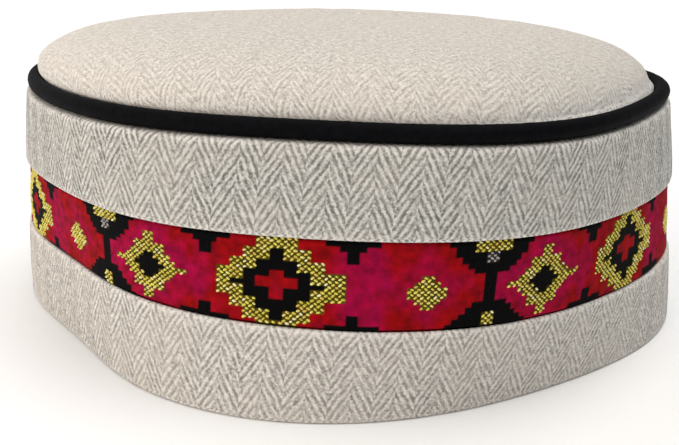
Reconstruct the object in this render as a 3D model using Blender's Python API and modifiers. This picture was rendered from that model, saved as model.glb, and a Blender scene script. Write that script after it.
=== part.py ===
# Himachali cap: a wool pillbox cap with a domed crown, black piping and a patterned woven band.
# Metres, +Z up. The rim stands on z = 0, the front faces -Y and the origin is the box's bottom centre.
# Angles run round the head from the front (0) through the right side, +X (90 degrees).
import bmesh
import bpy
from math import cos, exp, hypot, pi, radians, sin
from mathutils import Vector

MM = 0.001

# Plan of the cap: an oval at the rim and a slightly smaller one at the wall's head.
RIM_OVAL = {"half_width": 100.8 * MM, "half_depth": 85.1 * MM}
HEAD_OVAL = {"half_width": 97.2 * MM, "half_depth": 85.2 * MM}

# The front and sides are not quite an even oval: small waves in mm, by how often each repeats round the
# head. They fade out towards the back.
PLAN_WAVES = [
    {"repeats": 3, "rim_front": 2.1, "rim_right": -1.5, "head_front": 1.7, "head_right": 0.0},
    {"repeats": 4, "rim_front": 2.1, "rim_right": -1.0, "head_front": 0.0, "head_right": 0.4},
    {"repeats": 5, "rim_front": -0.7, "rim_right": 0.3, "head_front": -1.9, "head_right": 0.9},
]
WAVES_START_FADING = radians(75)
WAVES_END = radians(140)

# The wall is pressed in at the front left, most at the rim.
DENT_RIM = {"angle": radians(-60), "depth": 6.5 * MM}
DENT_HEAD = {"angle": radians(-51), "depth": 2.3 * MM}
DENT_SPREAD = radians(21)

# Heights above the rim, in mm. Each edge rises and falls a little round the head: by so much at the
# front, at the right, at the front and back together, and at the front right and back left together.
BAND_FOOT = {"height": 22.5, "front": 0.9, "right": -0.6, "ends": -0.2, "corners": -1.2}
BAND_HEAD = {"height": 43.7, "front": 0.2, "right": -0.1, "ends": 0.9, "corners": -0.3}
WALL_HEAD = {"height": 67.1, "front": -0.4, "right": 0.1, "ends": 0.5, "corners": -0.4}
CROWN_RISE = 15.7 * MM

# Cloth and cord
WOOL_THICKNESS = 2.0 * MM
BAND_THICKNESS = 1.2 * MM
GAP = 0.3 * MM
CORD_RADIUS = 2.25 * MM
CORD_INSET = 2.6 * MM
CORD_BEDS_IN = 0.9 * MM
EDGE_ROUNDING = 0.5 * MM

# How far each cloth stands out from the plan
LOWER_WALL_SWELL = 0.3 * MM
UPPER_WALL_SWELL = 0.9 * MM
UPPER_EDGE_STANDS_OUT = 0.7 * MM
BAND_SINKS = 0.4 * MM
SWELL_STARTS = 0.35
FOLD_ENDS = 0.2
HEM = 1.5 * MM

# Seam allowances that hold the pieces together out of sight
BAND_TUCK = 2.5 * MM
BAND_CLEARS_EDGE = 0.2 * MM
BAND_STEP = 0.8 * MM
SHOULDER = 1.3 * MM
SEAM_FLANGE = 7.4 * MM

# The crown is a soft dome: full near its edge, flat in the middle, and it leans a little to the left.
DOME_FULLNESS = 3.46
DOME_ROUNDNESS = 2.25
DOME_LEANS_LEFT = 1.0 * MM
DOME_RINGS = [0.994, 0.965, 0.91, 0.83, 0.72, 0.58, 0.41, 0.21, 0.0]
SKIRT_HEIGHT = 4.2 * MM

SIDES = 60


def edge_height(edge, angle):
    """Height of a cloth edge at an angle round the head."""
    once = edge["front"] * cos(angle) + edge["right"] * sin(angle)
    twice = edge["ends"] * cos(2 * angle) + edge["corners"] * sin(2 * angle)
    return MM * (edge["height"] + once + twice)


def oval_radius(oval, angle):
    """Distance from the middle of an oval to its edge."""
    return 1 / hypot(sin(angle) / oval["half_width"], cos(angle) / oval["half_depth"])


def wave_strength(angle):
    """1 over the front and sides, easing to 0 at the back."""
    off_front = abs((angle + pi) % (2 * pi) - pi)
    share = min(max((off_front - WAVES_START_FADING) / (WAVES_END - WAVES_START_FADING), 0), 1)
    return 1 - share * share * (3 - 2 * share)


def plan_radius(angle, level):
    """Distance from the head's axis to the plan at an angle; level 0 is the rim and 1 is the wall's head."""
    def blend(at_rim, at_head):
        return at_rim * (1 - level) + at_head * level

    radius = blend(oval_radius(RIM_OVAL, angle), oval_radius(HEAD_OVAL, angle))
    for wave in PLAN_WAVES:
        front = blend(wave["rim_front"], wave["head_front"]) * cos(wave["repeats"] * angle)
        right = blend(wave["rim_right"], wave["head_right"]) * sin(wave["repeats"] * angle)
        radius += MM * (front + right) * wave_strength(angle)
    off_dent = (angle - blend(DENT_RIM["angle"], DENT_HEAD["angle"]) + pi) % (2 * pi) - pi
    return radius - blend(DENT_RIM["depth"], DENT_HEAD["depth"]) * exp(-(off_dent / DENT_SPREAD) ** 2)


def around_head(angle, height, outset):
    """A point at an angle and height, standing out from the plan by outset."""
    level = min(height / (WALL_HEAD["height"] * MM), 1.0)
    radius = plan_radius(angle, level) + outset
    return Vector((radius * sin(angle), -radius * cos(angle), height))


def lower_row(share, outset):
    """A row of the lower wall's outer face, share of the way up from the rim to the band."""
    return lambda angle: around_head(angle, share * edge_height(BAND_FOOT, angle), outset)


def upper_row(share, outset):
    """A row of the upper wall's outer face, share of the way up from the band to the shoulder."""
    def place(angle):
        foot = edge_height(BAND_HEAD, angle)
        return around_head(angle, foot + share * (seam_height(angle) - SHOULDER - foot), outset)
    return place


def seam_height(angle):
    """Top of the seam flange, which carries the piping and the crown."""
    return edge_height(WALL_HEAD, angle) - CORD_BEDS_IN


def box_centre():
    """Middle of the box round the widest rows of the two wool walls, which becomes the origin."""
    widest = [lower_row(0.0, 0.0), lower_row(SWELL_STARTS, LOWER_WALL_SWELL)]
    widest += [upper_row(FOLD_ENDS, UPPER_WALL_SWELL)]
    ring = [row(2 * pi * side / SIDES) for row in widest for side in range(SIDES)]
    middle_x = (max(p.x for p in ring) + min(p.x for p in ring)) / 2
    middle_y = (max(p.y for p in ring) + min(p.y for p in ring)) / 2
    return Vector((middle_x, middle_y, 0))


def clear_scene():
    for thing in list(bpy.data.objects):
        bpy.data.objects.remove(thing, do_unlink=True)


def cloth_material(name, colour, roughness):
    material = bpy.data.materials.new(name)
    material.use_nodes = True
    shader = material.node_tree.nodes["Principled BSDF"]
    shader.inputs["Base Color"].default_value = (*colour, 1)
    shader.inputs["Roughness"].default_value = roughness
    shader.inputs["Metallic"].default_value = 0
    return material


def sewn_cloth(collection, name, rows, thickness, material, rounding=0.0):
    """A strip of cloth rolled round the head and sewn to itself at the back.

    It starts as a flat grid. Each row is a function from an angle to a point on the cloth's outer
    face, and Solidify adds the thickness inwards.
    """
    mesh = bpy.data.meshes.new(name)
    grid = bmesh.new()
    bmesh.ops.create_grid(grid, x_segments=SIDES, y_segments=len(rows) - 1, size=0.5)
    centre = box_centre()
    for vertex in grid.verts:
        angle = 2 * pi * vertex.co.x
        row = round((vertex.co.y + 0.5) * (len(rows) - 1))
        vertex.co = rows[row](angle) - centre
    bmesh.ops.remove_doubles(grid, verts=grid.verts, dist=0.01 * MM)
    grid.to_mesh(mesh)
    grid.free()
    mesh.shade_smooth()
    mesh.materials.append(material)
    cloth = bpy.data.objects.new(name, mesh)
    collection.objects.link(cloth)
    wall = cloth.modifiers.new("thickness", "SOLIDIFY")
    wall.thickness = thickness
    wall.offset = -1
    wall.use_even_offset = True
    if rounding:
        edges = cloth.modifiers.new("turned edges", "BEVEL")
        edges.width = rounding
        edges.segments = 1
        edges.limit_method = "ANGLE"
        edges.angle_limit = radians(60)


def lower_wall(collection):
    """Wool strip between the rim and the band; its flat foot is what the cap stands on."""
    def upright_hem(angle):
        return around_head(angle, 0.0, 0.0) + Vector((0, 0, HEM))

    rows = [lower_row(0.0, 0.0), upright_hem]
    rows += [lower_row(SWELL_STARTS, LOWER_WALL_SWELL), lower_row(1.0, LOWER_WALL_SWELL)]
    wool = cloth_material("grey wool, lower", (0.52, 0.5, 0.47), 0.95)
    sewn_cloth(collection, "lower_wall", rows, WOOL_THICKNESS, wool, EDGE_ROUNDING)


def woven_band(collection):
    """Patterned strip, seen between the two wool edges and tucked behind both."""
    def row(edge, above, outset):
        return lambda angle: around_head(angle, edge_height(edge, angle) + above, outset)

    behind_lower = LOWER_WALL_SWELL - WOOL_THICKNESS - GAP
    behind_upper = UPPER_EDGE_STANDS_OUT - WOOL_THICKNESS - GAP
    rows = [
        row(BAND_FOOT, -BAND_TUCK, behind_lower),
        row(BAND_FOOT, BAND_CLEARS_EDGE, behind_lower),
        row(BAND_FOOT, BAND_CLEARS_EDGE + BAND_STEP, -BAND_SINKS),
        row(BAND_HEAD, -BAND_CLEARS_EDGE - BAND_STEP, -BAND_SINKS),
        row(BAND_HEAD, -BAND_CLEARS_EDGE, behind_upper),
        row(BAND_HEAD, BAND_TUCK, behind_upper),
    ]
    weave = cloth_material("magenta weave", (0.42, 0.01, 0.07), 0.85)
    sewn_cloth(collection, "woven_band", rows, BAND_THICKNESS, weave)


def upper_wall(collection):
    """Wool strip above the band; its head turns in as the seam flange."""
    def flange(inset):
        return lambda angle: around_head(angle, seam_height(angle), -inset)

    rows = [
        upper_row(0.0, UPPER_EDGE_STANDS_OUT),
        upper_row(FOLD_ENDS, UPPER_WALL_SWELL),
        upper_row(0.6, 0.7 * UPPER_WALL_SWELL),
        upper_row(1.0, 0.0),
        flange(0.6 * SHOULDER),
        flange(SEAM_FLANGE),
    ]
    wool = cloth_material("grey wool, upper", (0.52, 0.5, 0.47), 0.95)
    sewn_cloth(collection, "upper_wall", rows, WOOL_THICKNESS, wool, EDGE_ROUNDING)


def crown_piping(collection):
    """Black covered cord laid in the seam between the wall and the crown."""
    route = bpy.data.curves.new("crown_piping", "CURVE")
    route.dimensions = "3D"
    route.bevel_depth = CORD_RADIUS
    route.bevel_resolution = 2
    spline = route.splines.new("POLY")
    spline.points.add(SIDES - 1)
    spline.use_cyclic_u = True
    centre = box_centre()
    for side, point in enumerate(spline.points):
        angle = 2 * pi * side / SIDES
        place = around_head(angle, seam_height(angle) + GAP + CORD_RADIUS, -CORD_INSET) - centre
        point.co = (*place, 1)
    route.materials.append(cloth_material("black piping", (0.004, 0.004, 0.007), 0.6))
    collection.objects.link(bpy.data.objects.new("crown_piping", route))


def crown(collection):
    """Domed wool panel. Its skirt stands on the seam flange, close behind the piping."""
    def skirt(rise):
        inset = CORD_INSET + CORD_RADIUS + GAP
        return lambda angle: around_head(angle, seam_height(angle) + GAP + rise, -inset)

    def ring(reach):
        fullness = (1 - reach ** DOME_FULLNESS) ** (1 / DOME_ROUNDNESS)
        middle = WALL_HEAD["height"] * MM - CORD_BEDS_IN + GAP + SKIRT_HEIGHT

        def place(angle):
            foot = skirt(SKIRT_HEIGHT)(angle)
            height = middle + (foot.z - middle) * reach ** 2 + CROWN_RISE * fullness
            return Vector((foot.x * reach - DOME_LEANS_LEFT * fullness ** 0.5, foot.y * reach, height))
        return place

    rows = [skirt(0.0), skirt(SKIRT_HEIGHT)] + [ring(reach) for reach in DOME_RINGS]
    wool = cloth_material("pale wool, crown", (0.68, 0.63, 0.57), 0.95)
    sewn_cloth(collection, "crown", rows, WOOL_THICKNESS, wool)


def main():
    clear_scene()
    collection = bpy.data.collections.new("himachali_cap")
    bpy.context.scene.collection.children.link(collection)
    lower_wall(collection)
    woven_band(collection)
    upper_wall(collection)
    crown_piping(collection)
    crown(collection)


main()
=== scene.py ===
# Himachali cap: grey herringbone wool, a patterned woven band, black piping and a soft pale crown.
# Units are metres. The rim stands on z = 0, the front faces -Y, angles run from the front towards +X.
import random

import bpy
import numpy as np
from math import pi, radians
from mathutils import Matrix, Vector


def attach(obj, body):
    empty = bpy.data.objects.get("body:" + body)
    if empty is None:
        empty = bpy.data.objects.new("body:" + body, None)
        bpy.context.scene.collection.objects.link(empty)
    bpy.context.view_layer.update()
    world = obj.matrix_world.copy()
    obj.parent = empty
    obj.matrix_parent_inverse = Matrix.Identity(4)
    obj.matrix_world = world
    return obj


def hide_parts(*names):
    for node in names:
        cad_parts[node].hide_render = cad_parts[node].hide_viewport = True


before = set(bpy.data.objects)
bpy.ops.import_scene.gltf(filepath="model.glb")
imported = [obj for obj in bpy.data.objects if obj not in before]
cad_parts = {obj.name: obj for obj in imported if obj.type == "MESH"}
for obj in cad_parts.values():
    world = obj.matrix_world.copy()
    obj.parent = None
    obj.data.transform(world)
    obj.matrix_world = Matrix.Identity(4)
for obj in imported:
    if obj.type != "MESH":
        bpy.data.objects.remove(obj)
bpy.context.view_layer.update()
mm = 0.001
random.seed(7)


# The head's plan and the cloth edges, as in the solids

plan = {
    "rimOval": (100.8 * mm, 85.1 * mm),  # half width, half depth
    "headOval": (97.2 * mm, 85.2 * mm),
    "waves": [  # repeats, then mm at the rim's front and right, and at the head's front and right
        (3, 2.1, -1.5, 1.7, 0.0),
        (4, 2.1, -1.0, 0.0, 0.4),
        (5, -0.7, 0.3, -1.9, 0.9),
    ],
    "wavesFadeFrom": radians(75),
    "wavesEnd": radians(140),
    "dentAtRim": (radians(-60), 5.3 * mm),  # angle, depth
    "dentAtHead": (radians(-51), 2.3 * mm),
    "dentSpread": radians(21),
    "fullAtHead": [(radians(116), 1.1 * mm, radians(17)), (radians(-112), 2.2 * mm, radians(18))],
    "middle": Vector((1.6293 * mm, -1.3467 * mm, 0)),
}
bandFoot = {"height": 22.5, "front": 0.9, "right": -0.6, "ends": -0.2, "corners": -1.2}  # mm
bandHead = {"height": 44.0, "front": 0.4, "right": -0.1, "ends": 0.6, "corners": -0.45}
wallHead = {"height": 67.1, "front": -0.05, "right": 0.5, "ends": 0.5, "corners": -0.4}
rimEdge = {"height": 0.0, "front": 0.0, "right": 0.0, "ends": 0.0, "corners": 0.0}
cordBedsIn = 0.9 * mm
arcsAt = 35 * mm  # the height where lengths along the cloth are measured


def edgeHeight(edge, angle):
    once = edge["front"] * np.cos(angle) + edge["right"] * np.sin(angle)
    twice = edge["ends"] * np.cos(2 * angle) + edge["corners"] * np.sin(2 * angle)
    return mm * (edge["height"] + once + twice)


def seamHeight(angle):
    return edgeHeight(wallHead, angle) - cordBedsIn


def ovalRadius(oval, angle):
    return 1 / np.hypot(np.sin(angle) / oval[0], np.cos(angle) / oval[1])


def planRadius(angle, level):
    def blend(atRim, atHead):
        return atRim * (1 - level) + atHead * level

    offFront = np.abs((angle + pi) % (2 * pi) - pi)
    share = np.clip((offFront - plan["wavesFadeFrom"]) / (plan["wavesEnd"] - plan["wavesFadeFrom"]), 0, 1)
    strength = 1 - share * share * (3 - 2 * share)
    radius = blend(ovalRadius(plan["rimOval"], angle), ovalRadius(plan["headOval"], angle))
    for repeats, rimFront, rimRight, headFront, headRight in plan["waves"]:
        wave = blend(rimFront, headFront) * np.cos(repeats * angle)
        wave = wave + blend(rimRight, headRight) * np.sin(repeats * angle)
        radius = radius + mm * wave * strength
    rimAngle, rimDepth = plan["dentAtRim"]
    headAngle, headDepth = plan["dentAtHead"]
    offDent = (angle - blend(rimAngle, headAngle) + pi) % (2 * pi) - pi
    radius = radius - blend(rimDepth, headDepth) * np.exp(-(offDent / plan["dentSpread"]) ** 2)
    for fullAngle, fullness, spread in plan["fullAtHead"]:  # the back corners swell a little at the head
        offCorner = (angle - fullAngle + pi) % (2 * pi) - pi
        radius = radius + blend(0, fullness) * np.exp(-(offCorner / spread) ** 2)
    return radius


def aroundHead(angle, height, outset):
    level = np.clip(height / (wallHead["height"] * mm), 0, 1)
    radius = planRadius(angle, level) + outset
    places = np.stack([radius * np.sin(angle), -radius * np.cos(angle), height + 0 * angle], -1)
    return places - np.array(plan["middle"])


def evenAngles(count, height):
    # angles from back seam to back seam with even steps of cloth between them, and the arc from the seam
    fine = np.linspace(-pi, pi, 4001)
    line = aroundHead(fine, height + 0 * fine, 0.0)
    arc = np.concatenate([[0], np.cumsum(np.linalg.norm(np.diff(line, axis=0), axis=1))])
    steps = np.linspace(0, arc[-1], count + 1)
    return np.interp(steps, arc, fine), steps, np.interp(0, fine, arc)


# Materials

def linearColour(hexColour):
    parts = [int(hexColour[i:i + 2], 16) / 255 for i in (1, 3, 5)]
    return [c / 12.92 if c <= 0.04045 else ((c + 0.055) / 1.055) ** 2.4 for c in parts] + [1.0]


def addNode(tree, kind, settings=None, links=None):
    # settings sets an input's value or a property of the node. links maps an input to another node's
    # first output, or to (node, output).
    node = tree.nodes.new("ShaderNode" + kind)
    for key, value in (settings or {}).items():
        if isinstance(key, int) or key in node.inputs:
            node.inputs[key].default_value = value
        else:
            setattr(node, key, value)
    for key, source in (links or {}).items():
        output = source[0].outputs[source[1]] if isinstance(source, tuple) else source.outputs[0]
        tree.links.new(output, node.inputs[key])
    return node


def startMaterial(name, roughness, sheen, specular=0.25):
    material = bpy.data.materials.new(name)
    material.use_nodes = True
    tree = material.node_tree
    shader = tree.nodes["Principled BSDF"]
    shader.inputs["Roughness"].default_value = roughness
    shader.inputs["Specular IOR Level"].default_value = specular
    shader.inputs["Sheen Weight"].default_value = sheen
    shader.inputs["Sheen Roughness"].default_value = 0.55
    return material, tree, shader


twill = {
    "columnWide": 5.2,  # mm, half a herringbone
    "steepness": 1.73,  # mm up for each mm across
    "ribSpacing": 3.03,  # mm from rib to rib up the cloth
    "lean": 0.09,  # the columns lean right by this share of the height
    "ribHeight": 0.07 * mm,
    "softAt": radians(82),  # the wool is rubbed softer at the sides
    "softSpread": radians(32),
    "softness": 0.42,
}


def twillWool(name, settings):
    # carded wool tweed in broken herringbone: light ribs over darker gaps, flecked and slightly fuzzy
    material, tree, shader = startMaterial(name, 0.95, 0.08, 0.1)
    clothMap = addNode(tree, "UVMap", {"uv_map": "cloth"})
    inMm = addNode(tree, "VectorMath", {"operation": "SCALE", "Scale": 1000.0}, {0: clothMap})
    drift = addNode(tree, "TexNoise", {"Scale": 0.11, "Detail": 2.0, "Roughness": 0.55},
                    {"Vector": inMm})  # the weave wanders over about 9 mm
    driftBy = addNode(tree, "VectorMath", {"operation": "SUBTRACT", 1: (0.5, 0.5, 0.5)},
                      {0: (drift, "Color")})
    driftMm = addNode(tree, "VectorMath", {"operation": "SCALE", "Scale": 1.3}, {0: driftBy})
    wandered = addNode(tree, "VectorMath", {"operation": "ADD"}, {0: inMm, 1: driftMm})
    axes = addNode(tree, "SeparateXYZ", None, {0: wandered})

    # ribs climb to a peak at every second column's edge, and step by half a rib where they turn
    upright = addNode(tree, "Math", {"operation": "MULTIPLY_ADD", 1: -twill["lean"]},
                      {0: (axes, "Y"), 2: (axes, "X")})
    across = addNode(tree, "Math", {"operation": "ADD", 1: settings["peakAt"]}, {0: upright})
    zigzag = addNode(tree, "Math", {"operation": "PINGPONG", 1: twill["columnWide"]}, {0: across})
    columns = addNode(tree, "Math", {"operation": "DIVIDE", 1: 2 * twill["columnWide"]}, {0: across})
    columnShare = addNode(tree, "Math", {"operation": "FRACT"}, {0: columns})
    half = addNode(tree, "Math", {"operation": "GREATER_THAN", 1: 0.5}, {0: columnShare})
    climb = addNode(tree, "Math", {"operation": "MULTIPLY_ADD", 1: twill["steepness"]},
                    {0: zigzag, 2: (axes, "Y")})
    ribCount = addNode(tree, "Math", {"operation": "DIVIDE", 1: twill["ribSpacing"]}, {0: climb})
    ribs = addNode(tree, "Math", {"operation": "MULTIPLY_ADD", 1: 0.5}, {0: half, 2: ribCount})
    turns = addNode(tree, "Math", {"operation": "MULTIPLY", 1: 2 * pi}, {0: ribs})
    ribWave = addNode(tree, "Math", {"operation": "COSINE"}, {0: turns})
    show = addNode(tree, "Attribute", {"attribute_name": "twillShow"})  # where the herringbone is clear
    wave = addNode(tree, "Math", {"operation": "MULTIPLY"}, {0: ribWave, 1: (show, "Fac")})

    stretched = addNode(tree, "Math", {"operation": "MULTIPLY", 1: 0.22}, {0: (axes, "Y")})
    alongRib = addNode(tree, "CombineXYZ", None, {0: ribs, 1: stretched, 2: half})
    flecks = addNode(tree, "TexNoise", {"Scale": 2.1, "Detail": 3.0, "Roughness": 0.65},
                     {"Vector": alongRib})  # slubs, about 2 mm long on each rib
    speckle = addNode(tree, "TexNoise", {"Scale": 0.55, "Detail": 5.0, "Roughness": 0.7},
                      {"Vector": inMm})  # carded fibres of unlike greys, about 2 mm
    grain = addNode(tree, "TexNoise", {"Scale": 1.7, "Detail": 3.0, "Roughness": 0.75},
                    {"Vector": inMm})  # nubs of yarn, about 0.6 mm across
    fibres = addNode(tree, "TexNoise", {"Scale": 3.2, "Detail": 2.0, "Roughness": 0.6},
                     {"Vector": inMm})  # single fibres, drawn as coarse as 0.3 mm to show
    cloudy = addNode(tree, "TexNoise", {"Scale": 0.05, "Detail": 2.0, "Roughness": 0.55},
                     {"Vector": inMm})  # slow change of tone over 20 mm

    ribShare = addNode(tree, "Math", {
        "operation": "MULTIPLY_ADD",
        1: 0.5 * settings["ribContrast"],
        2: 0.5,
    }, {0: wave})
    for layer, strength in ((flecks, 1.5), (speckle, 1.7), (grain, 2.6)):
        lift = addNode(tree, "Math", {"operation": "MULTIPLY_ADD", 1: strength, 2: -strength / 2},
                       {0: layer})
        ribShare = addNode(tree, "Math", {"operation": "ADD"}, {0: ribShare, 1: lift})
    ribShare = addNode(tree, "Clamp", None, {0: ribShare})
    darkFlecks = addNode(tree, "MapRange", {"From Min": 0.36, "From Max": 0.27}, {"Value": flecks})
    fleckShare = addNode(tree, "Math", {"operation": "MULTIPLY", 1: settings["fleckStrength"]},
                         {0: darkFlecks})
    warmShare = addNode(tree, "MapRange", {"From Min": 0.35, "From Max": 0.7, "To Max": 0.3},
                        {"Value": cloudy})
    # painted highlight: the wool is painted paler along the cloth's edges and folds, where light catches
    # them, made ragged by the ribs
    edge = addNode(tree, "Attribute", {"attribute_name": "paintedEdgeHighlight"})
    ribOnEdge = addNode(tree, "Math", {"operation": "MULTIPLY_ADD", 1: 0.75, 2: 0.1}, {0: ribShare})
    paintedHighlightShare = addNode(tree, "Math", {"operation": "MULTIPLY"}, {0: (edge, "Fac"), 1: ribOnEdge})
    colour = addNode(tree, "Mix", {
        "data_type": "RGBA",
        6: linearColour(settings["gapColour"]),
        7: linearColour(settings["yarnColour"]),
    }, {0: ribShare})
    for share, tone in ((fleckShare, "fleckColour"), (warmShare, "warmTone"), (paintedHighlightShare, "paintedHighlightColour")):
        colour = addNode(tree, "Mix", {"data_type": "RGBA", 7: linearColour(settings[tone])},
                         {0: share, 6: (colour, 2)})
    tree.links.new(colour.outputs[2], shader.inputs["Base Color"])

    relief = addNode(tree, "Math", {"operation": "MULTIPLY", 1: 0.35 * settings["ribContrast"]}, {0: wave})
    for layer, strength in ((fibres, 0.5), (flecks, 0.8), (speckle, 0.5), (grain, 0.9)):
        relief = addNode(tree, "Math", {"operation": "MULTIPLY_ADD", 1: strength}, {0: layer, 2: relief})
    bump = addNode(tree, "Bump", {"Strength": 0.75, "Distance": 0.28 * mm}, {"Height": relief})
    tree.links.new(bump.outputs[0], shader.inputs["Normal"])
    return material


def brocadeWeave():
    # cotton and wool band in supplementary weft: matt, slightly ribbed, its colour from the charted cells
    material, tree, shader = startMaterial("brocade weave", 0.9, 0.0, 0.1)
    clothMap = addNode(tree, "UVMap", {"uv_map": "cloth"})
    inMm = addNode(tree, "VectorMath", {"operation": "SCALE", "Scale": 1000.0}, {0: clothMap})
    axes = addNode(tree, "SeparateXYZ", None, {0: inMm})
    charted = addNode(tree, "Attribute", {"attribute_name": "yarnColour"})
    blotch = addNode(tree, "TexNoise", {"Scale": 0.35, "Detail": 3.0}, {"Vector": inMm})
    shade = addNode(tree, "MapRange", {"From Min": 0.3, "From Max": 0.7, "To Min": 0.55, "To Max": 1.25},
                    {"Value": blotch})
    pickSpacing, warpSpacing = 0.66, 0.8  # mm, weft picks and warp ends
    picks = addNode(tree, "Math", {"operation": "MULTIPLY", 1: 2 * pi / pickSpacing}, {0: (axes, "Y")})
    pickWave = addNode(tree, "Math", {"operation": "COSINE"}, {0: picks})
    warps = addNode(tree, "Math", {"operation": "MULTIPLY", 1: 2 * pi / warpSpacing}, {0: (axes, "X")})
    warpWave = addNode(tree, "Math", {"operation": "COSINE"}, {0: warps})
    weave = addNode(tree, "Math", {"operation": "MULTIPLY"}, {0: pickWave, 1: warpWave})
    fine = addNode(tree, "TexNoise", {"Scale": 2.2, "Detail": 3.0}, {"Vector": inMm})
    height = addNode(tree, "Math", {"operation": "MULTIPLY_ADD", 1: 0.35}, {0: weave, 2: fine})
    lift = addNode(tree, "Math", {"operation": "MULTIPLY_ADD", 1: 0.18}, {0: weave, 2: shade})
    scaled = addNode(tree, "VectorMath", {"operation": "SCALE"}, {0: (charted, "Color"), "Scale": lift})
    tree.links.new(scaled.outputs[0], shader.inputs["Base Color"])
    bump = addNode(tree, "Bump", {"Strength": 0.6, "Distance": 0.2 * mm}, {"Height": height})
    tree.links.new(bump.outputs[0], shader.inputs["Normal"])
    return material


def floatCotton():
    # mercerised cotton floats: a little glossier than the ground, each float its own shade
    material, tree, shader = startMaterial("yellow cotton floats", 0.6, 0.2, 0.4)
    charted = addNode(tree, "Attribute", {"attribute_name": "yarnColour"})
    place = addNode(tree, "TexCoord")
    fine = addNode(tree, "TexNoise", {"Scale": 2600.0, "Detail": 2.0}, {"Vector": (place, "Object")})
    shade = addNode(tree, "MapRange", {"From Min": 0.3, "From Max": 0.7, "To Min": 0.8, "To Max": 1.15},
                    {"Value": fine})
    scaled = addNode(tree, "VectorMath", {"operation": "SCALE"}, {0: (charted, "Color"), "Scale": shade})
    tree.links.new(scaled.outputs[0], shader.inputs["Base Color"])
    bump = addNode(tree, "Bump", {"Strength": 0.5, "Distance": 0.1 * mm}, {"Height": fine})
    tree.links.new(bump.outputs[0], shader.inputs["Normal"])
    return material


def pipingCotton():
    # black bias-cut cotton over a cord: fine diagonal twill, a dull sheen on its crown
    material, tree, shader = startMaterial("black bias cotton", 0.75, 0.0, 0.06)
    clothMap = addNode(tree, "UVMap", {"uv_map": "cloth"})
    inMm = addNode(tree, "VectorMath", {"operation": "SCALE", "Scale": 1000.0}, {0: clothMap})
    axes = addNode(tree, "SeparateXYZ", None, {0: inMm})
    slant = addNode(tree, "Math", {"operation": "ADD"}, {0: (axes, "X"), 1: (axes, "Y")})
    ribSpacing = 0.9  # mm, drawn coarser than the real twill so that it shows
    turns = addNode(tree, "Math", {"operation": "MULTIPLY", 1: 2 * pi / ribSpacing}, {0: slant})
    wave = addNode(tree, "Math", {"operation": "COSINE"}, {0: turns})
    patches = addNode(tree, "TexNoise", {"Scale": 0.5, "Detail": 3.0}, {"Vector": inMm})
    tone = addNode(tree, "MapRange", {"From Min": 0.3, "From Max": 0.7}, {"Value": patches})
    colour = addNode(tree, "Mix", {"data_type": "RGBA"}, {0: tone})
    colour.inputs[6].default_value = linearColour("#030305")
    colour.inputs[7].default_value = linearColour("#09090D")
    tree.links.new(colour.outputs[2], shader.inputs["Base Color"])
    height = addNode(tree, "Math", {"operation": "MULTIPLY_ADD", 1: 0.4}, {0: wave, 2: patches})
    bump = addNode(tree, "Bump", {"Strength": 0.5, "Distance": 0.15 * mm}, {"Height": height})
    tree.links.new(bump.outputs[0], shader.inputs["Normal"])
    return material


# Cloth strips

def softWander(arc, along, seed):
    # a slow unevenness of hand-pressed cloth, from -1 to 1
    shape = np.random.default_rng(seed)
    waveCount = 7
    total = 0 * arc
    for _ in range(waveCount):
        acrossWave, alongWave = shape.uniform(9, 45), shape.uniform(14, 60)
        turn, second = shape.uniform(0, 2 * pi, 2)
        sideways = np.sin(arc / mm * 2 * pi / acrossWave + turn)
        total = total + sideways * np.cos(along / mm * 2 * pi / alongWave + second)
    return total / (waveCount / 2)


def twillRelief(arc, along, peakAt):
    across = arc / mm - twill["lean"] * along / mm + peakAt
    wide = twill["columnWide"]
    zigzag = wide - np.abs(across % (2 * wide) - wide)
    half = (across % (2 * wide)) > wide
    return np.cos(2 * pi * ((along / mm + twill["steepness"] * zigzag) / twill["ribSpacing"] + 0.5 * half))


def deselectAll():
    if bpy.context.object and bpy.context.object.mode != "OBJECT":
        bpy.ops.object.mode_set(mode="OBJECT")
    bpy.ops.object.select_all(action="DESELECT")


def placesOf(piece):
    places = np.empty(len(piece.data.vertices) * 3)
    piece.data.vertices.foreach_get("co", places)
    return places.reshape(-1, 3)


def mapOf(layer):
    uv = np.empty(len(layer.data) * 2)
    layer.data.foreach_get("uv", uv)
    return uv.reshape(-1, 2)


def lengthsUp(heights, outsets):
    # the cloth's own length from a section's first row to each row, measured at the front
    middle = heights.shape[1] // 2
    steps = np.hypot(np.diff(heights[:, middle]), np.diff(outsets[:, middle]))
    return np.concatenate([[0], np.cumsum(steps)])


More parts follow.
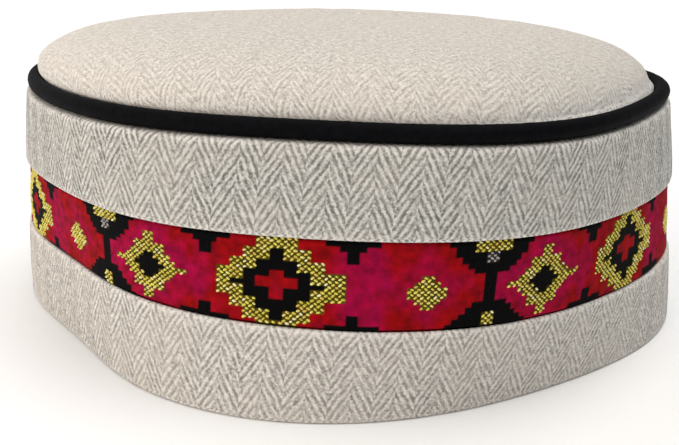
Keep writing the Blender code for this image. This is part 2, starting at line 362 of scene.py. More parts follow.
def rollStrip(name, heights, outsets, alongs, columns, relief):
    # a flat grid rolled round the head: rows run round it and columns run up it.
    # heights and outsets are (rows, columns + 1) arrays and alongs is the cloth's own length at each row.
    deselectAll()
    rows = len(alongs)
    bpy.ops.mesh.primitive_grid_add(x_subdivisions=columns, y_subdivisions=rows - 1, size=1, calc_uvs=True)
    strip = bpy.context.object
    strip.name = strip.data.name = name
    mesh = strip.data
    angles, arcs = evenAngles(columns, arcsAt)[:2]
    flat = placesOf(strip)
    column = np.rint((flat[:, 0] + 0.5) * columns).astype(int)
    row = np.rint((flat[:, 1] + 0.5) * (rows - 1)).astype(int)
    angle = angles[column]
    places = aroundHead(angle, heights[row, column], outsets[row, column])
    # relief stands out along the bare surface's outward direction, square to its rows and columns
    grid = np.empty((rows, columns + 1, 3))
    grid[row, column] = places
    upwards = np.gradient(grid, axis=0)
    wide = np.concatenate([grid[:, -2:-1], grid, grid[:, 1:2]], 1)
    sideways = wide[:, 2:] - wide[:, :-2]
    outward = np.cross(sideways, upwards)
    outward /= np.maximum(np.linalg.norm(outward, axis=2, keepdims=True), 1e-12)
    places = places + outward[row, column] * relief[row, column][:, None]
    mesh.vertices.foreach_set("co", places.ravel())
    layer = mesh.uv_layers[0]
    layer.name = "cloth"
    uv = mapOf(layer)
    u = arcs[np.rint(uv[:, 0] * columns).astype(int)]
    v = np.asarray(alongs)[np.rint(uv[:, 1] * (rows - 1)).astype(int)]
    layer.data.foreach_set("uv", np.stack([u, v], -1).ravel())
    return strip, row, column


def paintPoints(strip, name, kind, values):
    attribute = strip.data.attributes.new(name, kind, "POINT")
    field = "color" if kind == "FLOAT_COLOR" else "value"
    attribute.data.foreach_set(field, np.asarray(values, np.float32).ravel())


def sewShut(strip):
    # the strip's ends are sewn together at the back, and its inner and outer faces meet along one edge
    bpy.context.view_layer.objects.active = strip
    bpy.ops.object.mode_set(mode="EDIT")
    bpy.ops.mesh.select_all(action="SELECT")
    bpy.ops.mesh.remove_doubles(threshold=0.002 * mm)
    bpy.ops.mesh.normals_make_consistent(inside=False)
    bpy.ops.object.mode_set(mode="OBJECT")
    strip.data.shade_smooth()


def dressUp(piece, material, node):
    piece.data.materials.clear()
    piece.data.materials.append(material)
    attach(piece, "root")
    if node:
        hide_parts(node)
    triangles = sum(len(face.vertices) - 2 for face in piece.data.polygons)
    print(piece.name, "is made,", triangles, "triangles")


def seamDip(arcs, settings):
    # the sewn seam at the back: a narrow groove between two soft swellings
    off = np.minimum(arcs, arcs[-1] - arcs)
    groove = -settings["seamDepth"] * np.exp(-(off / settings["seamHalfWidth"]) ** 2)
    swellAt, swellSpread, reliefFades = 2.2 * mm, 1.3 * mm, 1.5 * mm
    swell = 0.35 * settings["seamDepth"] * np.exp(-((off - swellAt) / swellSpread) ** 2)
    return groove + swell, np.clip(off / reliefFades, 0, 1)


lowerWallLooks = {
    "columns": 1560,
    "outerRows": 34,
    "thickness": 2.0 * mm,
    "foldRows": 6,
    "innerRows": 9,
    "swellShares": (0.0, 0.07, 0.35, 1.0),
    "swells": (0.0, 0.0, 0.3 * mm, 0.3 * mm),
    "hemGroove": (0.48, 0.72),  # shares of the height, inside and just above the turned hem
    "hemGrooveDepth": 0.7 * mm,
    "peakAt": 8.1,  # mm, shifts the herringbone's columns sideways
    "seamDepth": 0.5 * mm,
    "seamHalfWidth": 0.6 * mm,
    "wander": 0.10 * mm,
}
upperWallLooks = {
    "columns": 1400,
    "outerRows": 34,
    "thickness": 2.0 * mm,
    "foldRows": 6,
    "innerRows": 8,
    "swellShares": (0.0, 0.2, 0.6, 1.0),
    "swells": (0.7 * mm, 0.7 * mm, 0.4 * mm, 0.0),
    "shoulder": 1.3 * mm,
    "flange": 7.4 * mm,
    "bendReach": 3.6 * mm,  # where the flange's underside bends down into the inner face
    "bendRound": 1.5,  # its radius, as a share of half the cloth's thickness
    "bendHangs": 0.1 * mm,
    "innerHeadDrops": 3.8 * mm,
    "peakAt": 4.8,
    "seamDepth": 0.5 * mm,
    "seamHalfWidth": 0.6 * mm,
    "wander": 0.10 * mm,
}


fullReliefAt = 1.5 * mm  # full relief from this height over the floor
clothMapStarts = 1 * mm
paintedHighlightSpread = 1.1 * mm  # painted highlight: paler wool along the edges, where the folds catch the light


def stripSection(looks, foot, head, angles):
    # the closed section of a wall strip: outer face up, over the head, inner face down, under the foot
    radius = looks["thickness"] / 2
    shares, aboves, outsets = [], [], []

    def add(share, above, outset):
        shares.append(share + 0 * angles)
        aboves.append(above + 0 * angles)
        outsets.append(outset + 0 * angles)

    for share in np.linspace(0, 1, looks["outerRows"]):
        swell = np.interp(share, looks["swellShares"], looks["swells"])
        lift = looks.get("shoulder", radius)
        add(share, radius * (1 - share) - lift * share, swell)
    topSwell = looks["swells"][-1]
    if "shoulder" in looks:  # the head turns in as the seam flange, and its end is a rounded raw edge
        drop = looks["shoulder"]
        for turn in np.linspace(0, pi / 2, looks["foldRows"])[1:]:
            add(1, -drop + drop * np.sin(turn), -drop * (1 - np.cos(turn)))
        for reach in np.linspace(drop, looks["flange"] - radius, 5)[1:]:
            add(1, 0, -reach)
        for turn in np.linspace(0, pi, looks["foldRows"])[1:]:
            add(1, radius * (np.cos(turn) - 1), -looks["flange"] + radius - radius * np.sin(turn))
        bend = looks["bendRound"] * radius
        for turn in np.linspace(0, pi / 2, 4):
            below = -2 * radius - bend * (1 - np.cos(turn)) - looks["bendHangs"]
            add(1, below, -looks["bendReach"] + bend * np.sin(turn))
    else:
        for turn in np.linspace(0, pi, looks["foldRows"] * 2)[1:-1]:
            add(1, radius * (np.sin(turn) - 1), topSwell - radius + radius * np.cos(turn))
    for share in np.linspace(1, 0, looks["innerRows"]):
        swell = np.interp(share, looks["swellShares"], looks["swells"]) - looks["thickness"]
        lift = looks.get("innerHeadDrops", radius)
        low, high = looks.get("hemGroove", (1, 1))
        step = looks["hemGrooveDepth"] if low < share < high else 0.0
        add(share, radius * (1 - share) - lift * share, swell + step)
    footSwell = looks["swells"][0]
    for turn in np.linspace(pi, 2 * pi, looks["foldRows"] * 2)[1:-1]:
        add(0, radius * (1 + np.sin(turn)), footSwell - radius + radius * np.cos(turn))
    add(0, radius, footSwell)
    shares, aboves, outsets = np.array(shares), np.array(aboves), np.array(outsets)
    heights = foot * (1 - shares) + head * shares + aboves
    return heights, outsets


def wallStrip(name, looks, footEdge, headHeight, material, node, seed):
    angles, arcs, front = evenAngles(looks["columns"], arcsAt)
    foot = edgeHeight(footEdge, angles)
    head = headHeight(angles)
    heights, outsets = stripSection(looks, foot, head, angles)
    alongs = lengthsUp(heights, outsets)
    arcGrid, alongGrid = np.meshgrid(arcs, alongs)
    outerEnds = looks["outerRows"] + looks["foldRows"]
    rowNumbers = np.arange(len(alongs))[:, None]
    outer = np.clip((outerEnds - rowNumbers) / 3, 0, 1)
    innerTwill = 0.5 * (1 - outer)
    dip, awayFromSeam = seamDip(arcs, looks)
    ribs = twillRelief(arcGrid - front, alongGrid, looks["peakAt"])
    relief = twill["ribHeight"] * ribs * (outer + innerTwill)
    relief = relief + looks["wander"] * softWander(arcGrid, alongGrid, seed) * outer
    relief = relief * awayFromSeam + dip * outer
    relief[-1] = relief[0]
    if footEdge is rimEdge:  # the rim rests on the floor, so nothing there goes below it
        relief = relief * np.clip(heights / fullReliefAt, 0, 1)
    strip, row, column = rollStrip(
        name, heights, outsets, alongs + clothMapStarts, looks["columns"], relief)
    # painted highlight along the strip's foot and head, weaker where the lower wall meets the floor
    nearFoot = np.exp(-((heights - foot) / paintedHighlightSpread) ** 2)
    nearHead = np.exp(-((heights - head) / paintedHighlightSpread) ** 2)
    outerOnly = (rowNumbers < outerEnds) | (rowNumbers > len(alongs) - looks["foldRows"])
    if footEdge is rimEdge:
        nearFoot = 0.35 * nearFoot
    paintedEdgeHighlight = np.clip(nearFoot + nearHead, 0, 1) * outerOnly
    paintPoints(strip, "paintedEdgeHighlight", "FLOAT", paintedEdgeHighlight[row, column])
    offSide = (np.abs(angles) - twill["softAt"]) / twill["softSpread"]
    clear = 1 - twill["softness"] * np.exp(-offSide ** 2)
    paintPoints(strip, "twillShow", "FLOAT", clear[column])
    sewShut(strip)
    dressUp(strip, material, node)
    return strip


# The woven band

bandLooks = {
    "columns": 1400,
    "visibleRows": 50,
    "sinks": 0.4 * mm,
    "tuckedIn": 2.0 * mm,
    "thickness": 1.2 * mm,
    "cellWide": 1.59 * mm,
    "cellsInRepeat": 63,
    "rowsInChart": 16,
    "diamondMiddle": -14.9 * mm,  # from the front, along the band
    "ribTall": 0.86 * mm,
    "ribWide": 0.82 * mm,
    "ribHeight": 0.035 * mm,
    "wander": 0.12 * mm,
    "magentaEnds": 1.35,  # in reaches from a field's middle
    "magentaFades": 0.6,
    "magentaRagged": 0.3,
    "seamDepth": 0.4 * mm,
    "seamHalfWidth": 0.5 * mm,
}
bandColours = {
    "red": "#98040C",
    "magenta": "#A0033E",
    "black": "#020203",
    "yellow": "#554C0E",  # the shaded ground under the raised floats
    "grey": "#2A2829",
    "inside": "#4A1022",  # the plain back of the weave
}
floatColours = {
    "yellow": ("#E4D854", "#EADD7C", "#CDBE38", "#DDBE50", "#F2E9B4"),
    "grey": ("#A8A29E", "#8E8886"),
}
floatWeights = (6, 3, 4, 2, 1)  # how often each shade comes

# Each motif is painted from its middle, given in cells from the big diamond's middle. A step is a colour,
# its first and last row, counted down from the band's top, and its reach in cells on both sides.
motifs = [
    {"middle": 0, "steps": [  # big diamond
        ("yellow", 0, 16, 3), ("yellow", 2, 14, 5), ("yellow", 4, 12, 7), ("yellow", 6, 10, (9, 10)),
        ("black", 2, 14, 1), ("black", 4, 12, 3), ("black", 6, 10, 5), ("black", 8, 8, 7),
        ("red", 7, 8, 3), ("red", 6, 10, 1)]},
    {"middle": 11, "steps": [("black", 0, 0, 4), ("black", 1, 1, 2), ("black", 2, 3, 1),
                             ("black", 13, 14, 1), ("black", 15, 16, 4)]},
    {"middle": 22, "steps": [  # small cross
        ("yellow", 6, 11, 1), ("yellow", 8, 9, 3), ("yellow", 7, 10, 2)]},
    {"middle": 32, "steps": [  # valley between two medallions
        ("black", 0, 16, 1), ("black", 0, 0, 7), ("black", 1, 1, 6), ("black", 2, 2, 6), ("black", 3, 3, 5),
        ("black", 4, 4, 4), ("black", 5, 5, 3), ("black", 11, 11, 3), ("black", 12, 12, 4),
        ("black", 13, 13, 5), ("black", 14, 14, 6), ("black", 15, 16, 7),
        ("yellow", 0, 1, 3), ("grey", 2, 3, 1), ("yellow", 13, 15, 1)]},
    {"middle": 42, "steps": [  # middle diamond
        ("yellow", 2, 14, 1), ("yellow", 4, 12, 3), ("yellow", 6, 10, 4), ("yellow", 7, 9, 5),
        ("yellow", 8, 8, 7), ("black", 6, 10, 1), ("black", 7, 9, 2), ("black", 8, 8, 3)]},
    {"middle": 52, "steps": [("black", 0, 0, 4), ("black", 1, 1, 2), ("black", 2, 3, 1),
                             ("black", 13, 14, 1), ("black", 15, 16, 4)]},
]


# The red ground runs softly into magenta round some of the motifs. Middles and reaches are in cells.
magentaFields = [
    {"middle": 42.3, "reach": 9.5, "tall": 9.0, "strength": 1.0},
    {"middle": 12.5, "reach": 4.5, "tall": 16.0, "strength": 0.9},
    {"middle": 22.0, "reach": 6.5, "tall": 6.5, "strength": 0.55},
    {"middle": 34.5, "reach": 2.5, "tall": 20.0, "strength": 0.9},
    {"middle": 51.0, "reach": 2.5, "tall": 6.0, "strength": 0.7},
]


def magentaShare(arcFromFront, above):
    cells = (arcFromFront - bandLooks["diamondMiddle"]) / bandLooks["cellWide"]
    rows = (1 - above) * bandLooks["rowsInChart"]
    middleRow = bandLooks["rowsInChart"] / 2
    repeat = bandLooks["cellsInRepeat"]
    share = 0 * cells
    for field in magentaFields:
        off = (cells - field["middle"] + repeat / 2) % repeat - repeat / 2
        distance = np.abs(off) / field["reach"] + np.abs(rows - middleRow) / field["tall"]
        near = np.clip((bandLooks["magentaEnds"] - distance) / bandLooks["magentaFades"], 0, 1)
        share = np.maximum(share, field["strength"] * near)
    return share


def chartBand():
    cells = bandLooks["cellsInRepeat"]
    chart = np.full((bandLooks["rowsInChart"] + 1, cells), "red", dtype=object)
    for motif in motifs:
        for colour, first, last, reach in motif["steps"]:
            left, right = reach if isinstance(reach, tuple) else (reach, reach)
            for cell in range(motif["middle"] - left, motif["middle"] + right):
                chart[first:last + 1, cell % cells] = colour
    return chart


def chartDrift(arcFromFront):
    # the wool strips cover the band unevenly at the right end, by up to a row and a cell
    return np.interp(arcFromFront, [55 * mm, 85 * mm, 120 * mm, 150 * mm], [0, 1, 1, 0])


def chartedAt(chart, arcFromFront, above):
    # above is the height over the band's foot as a share of its visible height
    cells = bandLooks["cellsInRepeat"]
    drift = chartDrift(arcFromFront)
    column = (arcFromFront - bandLooks["diamondMiddle"]) / bandLooks["cellWide"] - drift
    column = np.floor(column).astype(int) % cells
    row = np.floor((1 - above) * bandLooks["rowsInChart"] + drift).astype(int)
    return chart[np.clip(row, 0, len(chart) - 1), column]


def wovenBand(chart):
    looks = bandLooks
    angles, arcs, front = evenAngles(looks["columns"], arcsAt)
    foot, head = edgeHeight(bandFoot, angles), edgeHeight(bandHead, angles)
    sink, tucked = -looks["sinks"], -looks["tuckedIn"]
    # each point of the section is a share of the height, a height above that, and an outset
    section = [(0, -2.5 * mm, tucked), (0, -0.6 * mm, tucked), (0, 0.05 * mm, tucked + 0.35 * mm),
               (0, 0.35 * mm, -1.0 * mm), (0, 0.6 * mm, -0.6 * mm)]
    for share in np.linspace(0, 1, looks["visibleRows"]):
        section.append((share, (0.9 - 1.8 * share) * mm, sink))
    section += [(1, -0.6 * mm, -0.6 * mm), (1, -0.35 * mm, -0.9 * mm), (1, -0.05 * mm, tucked + 0.75 * mm),
                (1, 0.6 * mm, tucked + 0.4 * mm), (1, 2.5 * mm, tucked + 0.4 * mm)]
    outerCount = len(section)
    thick = looks["thickness"]
    section += [(1, 2.5 * mm, tucked + 0.4 * mm - thick), (1, 0.2 * mm, tucked + 0.3 * mm - thick)]
    for share in np.linspace(1, 0, 6):
        section.append((share, (1 - 2 * share) * mm, sink - thick))
    section += [(0, -0.2 * mm, tucked - thick), (0, -2.5 * mm, tucked - thick), (0, -2.5 * mm, tucked)]
    shares, aboves, outsets = [np.array(part)[:, None] + 0 * angles for part in zip(*section)]
    heights = foot * (1 - shares) + head * shares + aboves
    alongs = lengthsUp(heights, outsets)
    arcGrid, alongGrid = np.meshgrid(arcs, alongs)
    dip, awayFromSeam = seamDip(arcs, looks)
    inside = np.arange(len(section)) >= outerCount
    rib = np.cos(2 * pi * alongGrid / looks["ribTall"]) * np.cos(2 * pi * arcGrid / looks["ribWide"])
    relief = looks["ribHeight"] * rib + looks["wander"] * softWander(arcGrid, alongGrid, 31)
    relief = (relief * awayFromSeam + dip) * ~inside[:, None]
    strip, row, column = rollStrip("wovenBandCloth", heights, outsets, alongs, looks["columns"], relief)
    above = (heights - foot) / (head - foot)
    names = chartedAt(chart, arcGrid - front, above)
    colours = {name: linearColour(value) for name, value in bandColours.items()}
    table = np.zeros(names.shape + (4,))
    for name, colour in colours.items():
        table[names == name] = colour
    ragged = looks["magentaRagged"] * softWander(arcGrid * 2.5, alongGrid * 2.5, 33)
    share = magentaShare(arcGrid - front, above) + ragged
    share = np.clip(share, 0, 1)[..., None] * (names == "red")[..., None]
    table = table * (1 - share) + np.array(colours["magenta"]) * share
    table[inside] = colours["inside"]
    paintPoints(strip, "yarnColour", "FLOAT_COLOR", table[row, column])
    sewShut(strip)
    dressUp(strip, brocadeWeave(), "woven_band")
    return strip


floatLooks = {
    "halfWide": 0.52 * mm,
    "halfTall": 0.31 * mm,
    "standsOut": 0.30 * mm,
    "standsOff": 0.05 * mm,
    "tilt": 0.5,  # neighbouring rows lean opposite ways, like netting
    "tiltJitter": 0.3,
    "placeJitter": 0.08 * mm,
    "sizeJitter": 0.16,
    "footKeepsClear": 0.5 * mm,  # the lower wall's edge lies close in front of the floats there
    "headKeepsClear": 0.2 * mm,
    "seamKeepsClear": 0.5 * mm,
}


def raisedFloats(chart):
    # every yellow or grey cell holds two rows of raised yarn floats, laid like bricks
    deselectAll()
    bpy.ops.mesh.primitive_uv_sphere_add(segments=7, ring_count=4, radius=1)
    pattern = bpy.context.object
    bpy.ops.object.mode_set(mode="EDIT")
    bpy.ops.mesh.select_all(action="SELECT")
    bpy.ops.transform.rotate(value=pi / 2, orient_axis="Y", center_override=(0, 0, 0))
    bpy.ops.object.mode_set(mode="OBJECT")
    corners = placesOf(pattern)
    faces = [list(face.vertices) for face in pattern.data.polygons]
    bpy.data.objects.remove(pattern)
    angles, arcs, front = evenAngles(bandLooks["columns"], arcsAt)
    wide = bandLooks["cellWide"]
    aStepOn = 0.004  # radians, to find which way the band runs
    rowCount = bandLooks["rowsInChart"] * 2
    places, allFaces, colours = [], [], []
    for brickRow in range(rowCount):
        above = 1 - (brickRow + 0.5) / rowCount
        offset = 0.25 * wide if brickRow % 2 else 0.75 * wide
        # bricks start from the big diamond's middle, so that the two sides of each motif match
        first = int(np.floor((-front - bandLooks["diamondMiddle"]) / wide))
        for brick in range(first, first + int(arcs[-1] / wide) + 1):
            arc = bandLooks["diamondMiddle"] + brick * wide + offset
            if abs(arc) > arcs[-1] / 2 - floatLooks["seamKeepsClear"]:
                continue
            name = chartedAt(chart, np.array(arc), np.array(above))
            if name not in floatColours:
                continue
            arc += random.uniform(-1, 1) * floatLooks["placeJitter"]
            size = 1 + random.uniform(-1, 1) * floatLooks["sizeJitter"]
            angle = np.interp(arc + front, arcs, angles)
            foot, head = edgeHeight(bandFoot, angle), edgeHeight(bandHead, angle)
            height = foot + above * (head - foot) + random.uniform(-1, 1) * floatLooks["placeJitter"]
            if not foot + floatLooks["footKeepsClear"] < height < head - floatLooks["headKeepsClear"]:
                continue
            sunk = -bandLooks["sinks"]
            centre = aroundHead(np.array(angle), np.array(height), sunk + floatLooks["standsOff"])
            ahead = aroundHead(np.array(angle + aStepOn), np.array(height), sunk) - centre
            side = Vector(ahead).normalized()
            up = Vector((0, 0, 1))
            out = side.cross(up).normalized()
            tilt = floatLooks["tilt"] if brickRow % 2 else -floatLooks["tilt"]
            tilt += random.uniform(-floatLooks["tiltJitter"], floatLooks["tiltJitter"])
            turned = Matrix.Rotation(tilt, 3, out)
            side, up = turned @ side, turned @ up
            shape = (corners[:, :1] * np.array(side) * floatLooks["halfWide"] * size
                     + corners[:, 1:2] * np.array(out) * floatLooks["standsOut"]
                     + corners[:, 2:] * np.array(up) * floatLooks["halfTall"] * size)
            start = len(places) * len(corners)
            places.append(shape + centre)
            allFaces += [[start + corner for corner in face] for face in faces]
            shades = floatColours[name]
            shade = random.choices(shades, floatWeights[:len(shades)])[0]
            colours += [linearColour(shade)] * len(corners)
    mesh = bpy.data.meshes.new("bandYellowFloats")
    mesh.from_pydata(np.concatenate(places).tolist(), [], allFaces)
    floats = bpy.data.objects.new("bandYellowFloats", mesh)
    bpy.context.scene.collection.objects.link(floats)
    paintPoints(floats, "yarnColour", "FLOAT_COLOR", colours)
    sewShut(floats)
    dressUp(floats, floatCotton(), None)
    return floats


# The piping

pipingLooks = {
    "radius": 2.25 * mm,
    "inset": 2.6 * mm,
    "gap": 0.3 * mm,
    "columns": 900,
    "sides": 24,
    "arcsAt": 66 * mm,
    "wrinkles": 0.05 * mm,
    "joinDepth": 0.35 * mm,
    "joinHalfWidth": 0.5 * mm,
    "joinSlants": 1.2 * mm,
    "smoothNearJoin": 3 * mm,
}


def crownPiping():
    looks = pipingLooks
    deselectAll()
    columns, sides = looks["columns"], looks["sides"]
    bpy.ops.mesh.primitive_grid_add(x_subdivisions=columns, y_subdivisions=sides, size=1, calc_uvs=True)
    piping = bpy.context.object
    piping.name = piping.data.name = "crownPipingCord"
    angles, arcs = evenAngles(columns, looks["arcsAt"])[:2]
    flat = placesOf(piping)
    column = np.rint((flat[:, 0] + 0.5) * columns).astype(int)
    around = 2 * pi * np.rint((flat[:, 1] + 0.5) * sides) / sides
    angle = angles[column]
    arc = arcs[column]
    wrinkle = softWander(arc * 5, around * 6 * mm, 51)
    offJoin = np.minimum(arc, arcs[-1] - arc) - looks["joinSlants"] * np.cos(around)
    wrinkle = wrinkle * np.clip(np.abs(offJoin) / looks["smoothNearJoin"], 0, 1)
    radius = looks["radius"] + looks["wrinkles"] * wrinkle
    radius = radius - looks["joinDepth"] * np.exp(-(offJoin / looks["joinHalfWidth"]) ** 2)
    height = seamHeight(angle) + looks["gap"] + looks["radius"]
    centre = aroundHead(angle, height, -looks["inset"])
    outward = np.stack([np.sin(angle), -np.cos(angle), 0 * angle], -1)
    places = centre + (radius * np.cos(around))[:, None] * outward
    places[:, 2] += radius * np.sin(around)
    piping.data.vertices.foreach_set("co", places.ravel())
    layer = piping.data.uv_layers[0]
    layer.name = "cloth"
    uv = mapOf(layer) * (arcs[-1], 2 * pi * looks["radius"])
    layer.data.foreach_set("uv", uv.ravel())
    sewShut(piping)
    dressUp(piping, pipingCotton(), "crown_piping")
    return piping


# The crown

crownLooks = {
    "rise": 15.7 * mm,
    "fullness": 3.46,
    "roundness": 2.25,
    "leansLeft": 3.7 * mm,
    "leanAtFoot": 0.3,  # share of the lean that the foot of the dome already has
    "skirt": 4.2 * mm,
    "thickness": 2.0 * mm,
    "cells": 252,
    "skirtRows": 5,
    "innerRings": 12,
    "wander": 0.15 * mm,
    "wanderFades": 9 * mm,
    "ribsFade": 2 * mm,
    "peakAt": 1.5,
    "meanHalfWidth": 91 * mm,
    "puckers": 46,  # small gathers along the seam
    "puckerHeight": 0.10 * mm,
    "puckerAt": 3 * mm,
    "ribShare": 0.35,  # the crown's ribs are flatter than the walls'
    # painted highlight: the width of a pale rim painted along the crown's foot, over the shade that falls
    # there behind the piping
    "paintedHighlightSpread": 2.6 * mm,
    "clearEdge": 14 * mm,  # the herringbone shows best near the front seam
    "leastClear": 0.22,
    "mapMiddle": 0.1,  # metres, which keeps the cloth map positive
}


def domeFullness(reach):
    return (1 - np.clip(reach, 0, 1) ** crownLooks["fullness"]) ** (1 / crownLooks["roundness"])


def crownPoint(angle, reach, inward):
    # a point of the dome, inward from the outer face by the given depth
    looks = crownLooks
    inset = pipingLooks["inset"] + pipingLooks["radius"] + pipingLooks["gap"] + inward
    footHeight = seamHeight(angle) + pipingLooks["gap"] + looks["skirt"]
    foot = aroundHead(angle, footHeight, -inset)
    middle = wallHead["height"] * mm - cordBedsIn + pipingLooks["gap"] + looks["skirt"]
    full = domeFullness(reach)
    lean = looks["leansLeft"] * (looks["leanAtFoot"] + (1 - looks["leanAtFoot"]) * np.sqrt(full))
    height = middle + (footHeight - middle) * reach ** 2 + (looks["rise"] - inward) * full
    return np.stack([foot[:, 0] * reach - lean, foot[:, 1] * reach, height], -1)


def chosenPlaces(piece):
    chosen = np.zeros(len(piece.data.vertices), bool)
    piece.data.vertices.foreach_get("select", chosen)
    return chosen, placesOf(piece)


def addedCorners(piece, firstNew):
    # for each corner of each face, whether its face has a vertex added after the first ones
    added = [max(face.vertices) >= firstNew for face in piece.data.polygons]
    corners = [len(face.vertices) for face in piece.data.polygons]
    return np.repeat(added, corners)


def crownAngle(places):
    return np.arctan2(places[:, 0] + plan["middle"][0], -(places[:, 1] + plan["middle"][1]))


def pushRing(crown, placeAt):
    # extrudes the open edge and sets the new ring by its angles round the head
    bpy.ops.mesh.extrude_region_move()
    bpy.ops.object.mode_set(mode="OBJECT")
    chosen, places = chosenPlaces(crown)
    places[chosen] = placeAt(places[chosen])
    crown.data.vertices.foreach_set("co", places.ravel())
    bpy.ops.object.mode_set(mode="EDIT")


def crownPanel(material):
    looks = crownLooks
    deselectAll()
    cells = looks["cells"]
    bpy.ops.mesh.primitive_grid_add(x_subdivisions=cells, y_subdivisions=cells, size=2, calc_uvs=True)
    crown = bpy.context.object
    crown.name = crown.data.name = "crownWool"
    count = len(crown.data.vertices)
    flat = placesOf(crown)
    # the square grid is eased into a disc, and the disc's rings into even steps of cloth over the dome
    discX = flat[:, 0] * np.sqrt(1 - flat[:, 1] ** 2 / 2)
    discY = flat[:, 1] * np.sqrt(1 - flat[:, 0] ** 2 / 2)
    reachFlat = np.clip(np.hypot(discX, discY), 0, 1)
    angle = np.arctan2(discX, -discY)
    profile = np.concatenate([np.linspace(0, 0.9, 300), 1 - np.geomspace(0.1, 1e-6, 500), [1.0]])
    across = profile * looks["meanHalfWidth"]
    rise = domeFullness(profile) * looks["rise"]
    dome = np.concatenate([[0], np.cumsum(np.hypot(np.diff(across), np.diff(rise)))])
    reach = np.interp(reachFlat * dome[-1], dome, profile)
    places = crownPoint(angle, reach, 0.0)
    clothX, clothY = np.sin(angle) * reachFlat * dome[-1], -np.cos(angle) * reachFlat * dome[-1]
    edgeOff = (1 - reachFlat) * dome[-1]
    wander = softWander(clothX, clothY, 61) * looks["wander"]
    wander = wander * np.clip(edgeOff / looks["wanderFades"], 0, 1)
    gathers = np.cos(angle * looks["puckers"] + 2 * np.sin(angle * 7))
    offGather = (edgeOff - looks["puckerAt"]) / looks["puckerAt"]
    pucker = looks["puckerHeight"] * gathers * np.exp(-offGather ** 2)
    ribs = looks["ribShare"] * twill["ribHeight"] * twillRelief(clothX, clothY, looks["peakAt"])
    lift = wander + pucker + ribs * np.clip(edgeOff / looks["ribsFade"], 0, 1)
    sloping = 0.5 * reach ** 6
    rounded = np.stack([np.sin(angle) * sloping, -np.cos(angle) * sloping, 1 + 0 * reach], -1)
    rounded /= np.linalg.norm(rounded, axis=1, keepdims=True)
    places = places + rounded * lift[:, None]
    crown.data.vertices.foreach_set("co", places.ravel())
    layer = crown.data.uv_layers[0]
    layer.name = "cloth"
    corner = np.empty(len(crown.data.loops), int)
    crown.data.loops.foreach_get("vertex_index", corner)
    cloth = np.stack([clothX[corner], clothY[corner]], -1) + looks["mapMiddle"]
    layer.data.foreach_set("uv", cloth.ravel())
    # painted highlight: the crown is painted paler towards its foot by the piping, where it would lie in
    # shade
    paintedEdgeHighlight = np.exp(-(edgeOff / looks["paintedHighlightSpread"]) ** 2)
    paintPoints(crown, "paintedEdgeHighlight", "FLOAT", paintedEdgeHighlight)
    nearFrontSeam = np.exp(-(edgeOff / looks["clearEdge"]) ** 2) * np.clip(np.cos(angle), 0, 1)
    clear = looks["leastClear"] + (1 - looks["leastClear"]) * nearFrontSeam
    paintPoints(crown, "twillShow", "FLOAT", clear)

    # the skirt goes down behind the piping, then the inner face comes back up and in
    def skirtRing(drop, inward):
        inset = pipingLooks["inset"] + pipingLooks["radius"] + pipingLooks["gap"] + inward

        def placeAt(places):
            ringAngles = crownAngle(places)
            height = seamHeight(ringAngles) + pipingLooks["gap"] + looks["skirt"] - drop
            return aroundHead(ringAngles, height, -inset)
        return placeAt

    bpy.context.view_layer.objects.active = crown
    bpy.ops.object.mode_set(mode="EDIT")
    bpy.ops.mesh.select_mode(type="EDGE")
    bpy.ops.mesh.select_all(action="DESELECT")
    bpy.ops.mesh.select_non_manifold()
    for drop in np.linspace(0, looks["skirt"], looks["skirtRows"])[1:]:
        pushRing(crown, skirtRing(drop, 0.0))
    for drop in np.linspace(looks["skirt"], 0, looks["skirtRows"]):
        pushRing(crown, skirtRing(drop, looks["thickness"]))
    bpy.ops.object.mode_set(mode="OBJECT")
    chosen, places = chosenPlaces(crown)
    innerAngles = crownAngle(places[chosen])
    bpy.ops.object.mode_set(mode="EDIT")
    for share in np.linspace(1, 0, looks["innerRings"] + 1)[1:-1]:
        reachNow = np.full(len(innerAngles), np.interp(share * dome[-1], dome, profile))
        pushRing(crown, lambda places: crownPoint(innerAngles, reachNow, looks["thickness"]))
    bpy.ops.mesh.edge_face_add()
    bpy.ops.mesh.poke()
    bpy.ops.object.mode_set(mode="OBJECT")
    # the skirt and the inner face have no map yet, so theirs is laid flat from above
    corner = np.empty(len(crown.data.loops), int)
    crown.data.loops.foreach_get("vertex_index", corner)
    places = placesOf(crown)
    layer = crown.data.uv_layers["cloth"]
    uv = mapOf(layer)
    inside = addedCorners(crown, count)
    uv[inside] = places[corner[inside], :2] + looks["mapMiddle"]
    layer.data.foreach_set("uv", uv.ravel())
    sewShut(crown)
    dressUp(crown, material, "crown")
    return crown


# Stage

studio = {
    "floorColour": "#F7F7F7",
    "floorWide": 30,
    "worldAtLeft": 0.98,
    "worldAtRight": 0.12,
    "topLight": {"from": (0.16, 0.04, 1.0), "strength": 1.8, "spread": radians(40), "colour": "#FFFDFA"},
    "sideLight": {"from": (-0.88, -0.6, 0.08), "strength": 1.5, "spread": radians(50), "colour": "#FFE9D2"},
}
cameraView = {
    "place": Vector((-1.63, -280.15, 110.95)) * mm,
    "aim": Vector((-2.66, 1.35, 22.15)) * mm,
    "roll": 0.0259,
    "focalPixels": 920.9,  # at the photograph's width
    "photoWidth": 679,
}


def addCamera():
    view = cameraView
    data = bpy.data.cameras.new("camera")
    data.sensor_width = 36
    data.lens = view["focalPixels"] / view["photoWidth"] * data.sensor_width
    data.clip_start = 0.01
    camera = bpy.data.objects.new("camera", data)
    bpy.context.scene.collection.objects.link(camera)
    look = (view["aim"] - view["place"]).to_track_quat("-Z", "Y").to_matrix().to_4x4()
    camera.matrix_world = Matrix.Translation(view["place"]) @ look @ Matrix.Rotation(view["roll"], 4, "Z")
    bpy.context.scene.camera = camera


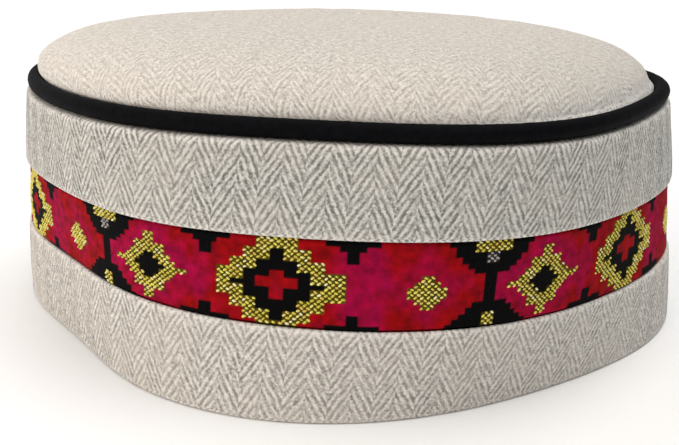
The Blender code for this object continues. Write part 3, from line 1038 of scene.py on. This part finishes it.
def addSoftSun(name):
    settings = studio[name]
    data = bpy.data.lights.new(name, "SUN")
    data.energy = settings["strength"]
    data.angle = settings["spread"]
    data.color = linearColour(settings["colour"])[:3]
    light = bpy.data.objects.new(name, data)
    bpy.context.scene.collection.objects.link(light)
    light.matrix_world = Vector(settings["from"]).to_track_quat("Z", "Y").to_matrix().to_4x4()


def addStage():
    deselectAll()
    bpy.ops.mesh.primitive_plane_add(size=studio["floorWide"], location=(0, 0, 0))
    floor = bpy.context.object
    floor.name = "studioFloor"
    material, _, shader = startMaterial("matt white paper", 0.9, 0.0)
    shader.inputs["Base Color"].default_value = linearColour(studio["floorColour"])
    floor.data.materials.append(material)
    world = bpy.data.worlds.new("studio")
    world.use_nodes = True
    place = addNode(world.node_tree, "TexCoord")
    axes = addNode(world.node_tree, "SeparateXYZ", None, {0: (place, "Generated")})
    pale = addNode(world.node_tree, "MapRange", {
        "From Min": -1.0,
        "From Max": 1.0,
        "To Min": studio["worldAtLeft"],
        "To Max": studio["worldAtRight"],
    }, {"Value": (axes, "X")})  # one side of the studio is brighter
    background = world.node_tree.nodes["Background"]
    background.inputs["Color"].default_value = linearColour("#FFFFFF")
    world.node_tree.links.new(pale.outputs[0], background.inputs["Strength"])
    bpy.context.scene.world = world
    addSoftSun("topLight")
    addSoftSun("sideLight")
    bpy.context.scene.view_settings.view_transform = "Standard"


wallWool = {
    "ribContrast": 0.7,
    "gapColour": "#898580",
    "yarnColour": "#EAE6DF",
    "fleckColour": "#5C564F",
    "fleckStrength": 0.7,
    "warmTone": "#D2C9BF",
    # the colour of the painted highlight along the walls' edges
    "paintedHighlightColour": "#F1EDE6",
}
crownWool = {
    **wallWool,
    "ribContrast": 0.5,
    "gapColour": "#A8A198",
    "yarnColour": "#EEE8DF",
    "fleckColour": "#878076",
    "fleckStrength": 0.5,
    # the colour of the painted highlight on the crown's rim, near white
    "paintedHighlightColour": "#FFFDF8",
}

addCamera()
addStage()
print("camera and stage are set")

frontArc = evenAngles(lowerWallLooks["columns"], arcsAt)[2] / mm  # from the back seam to the front
lowerWool = twillWool("grey tweed, lower wall", {
    **wallWool,
    "peakAt": lowerWallLooks["peakAt"] - frontArc,
    "ribContrast": 0.58,
})
# the two walls are one tweed: the upper wall's copy is painted darker than the lower wall's, as painted
# shade for the lesser light on it
upperWool = twillWool("grey tweed, upper wall", {
    **wallWool,
    "peakAt": upperWallLooks["peakAt"] - frontArc,
    "gapColour": "#706F6B",
    "yarnColour": "#DDDCD6",
})
paleWool = twillWool("pale tweed, crown", {
    **crownWool,
    "peakAt": crownLooks["peakAt"] - crownLooks["mapMiddle"] / mm,
})


def bandFootHeight(angle):
    return edgeHeight(bandFoot, angle)


wallStrip("lowerWallWool", lowerWallLooks, rimEdge, bandFootHeight, lowerWool, "lower_wall", 11)
wallStrip("upperWallWool", upperWallLooks, bandHead, seamHeight, upperWool, "upper_wall", 21)
bandChart = chartBand()
wovenBand(bandChart)
raisedFloats(bandChart)
crownPiping()
crownPanel(paleWool)
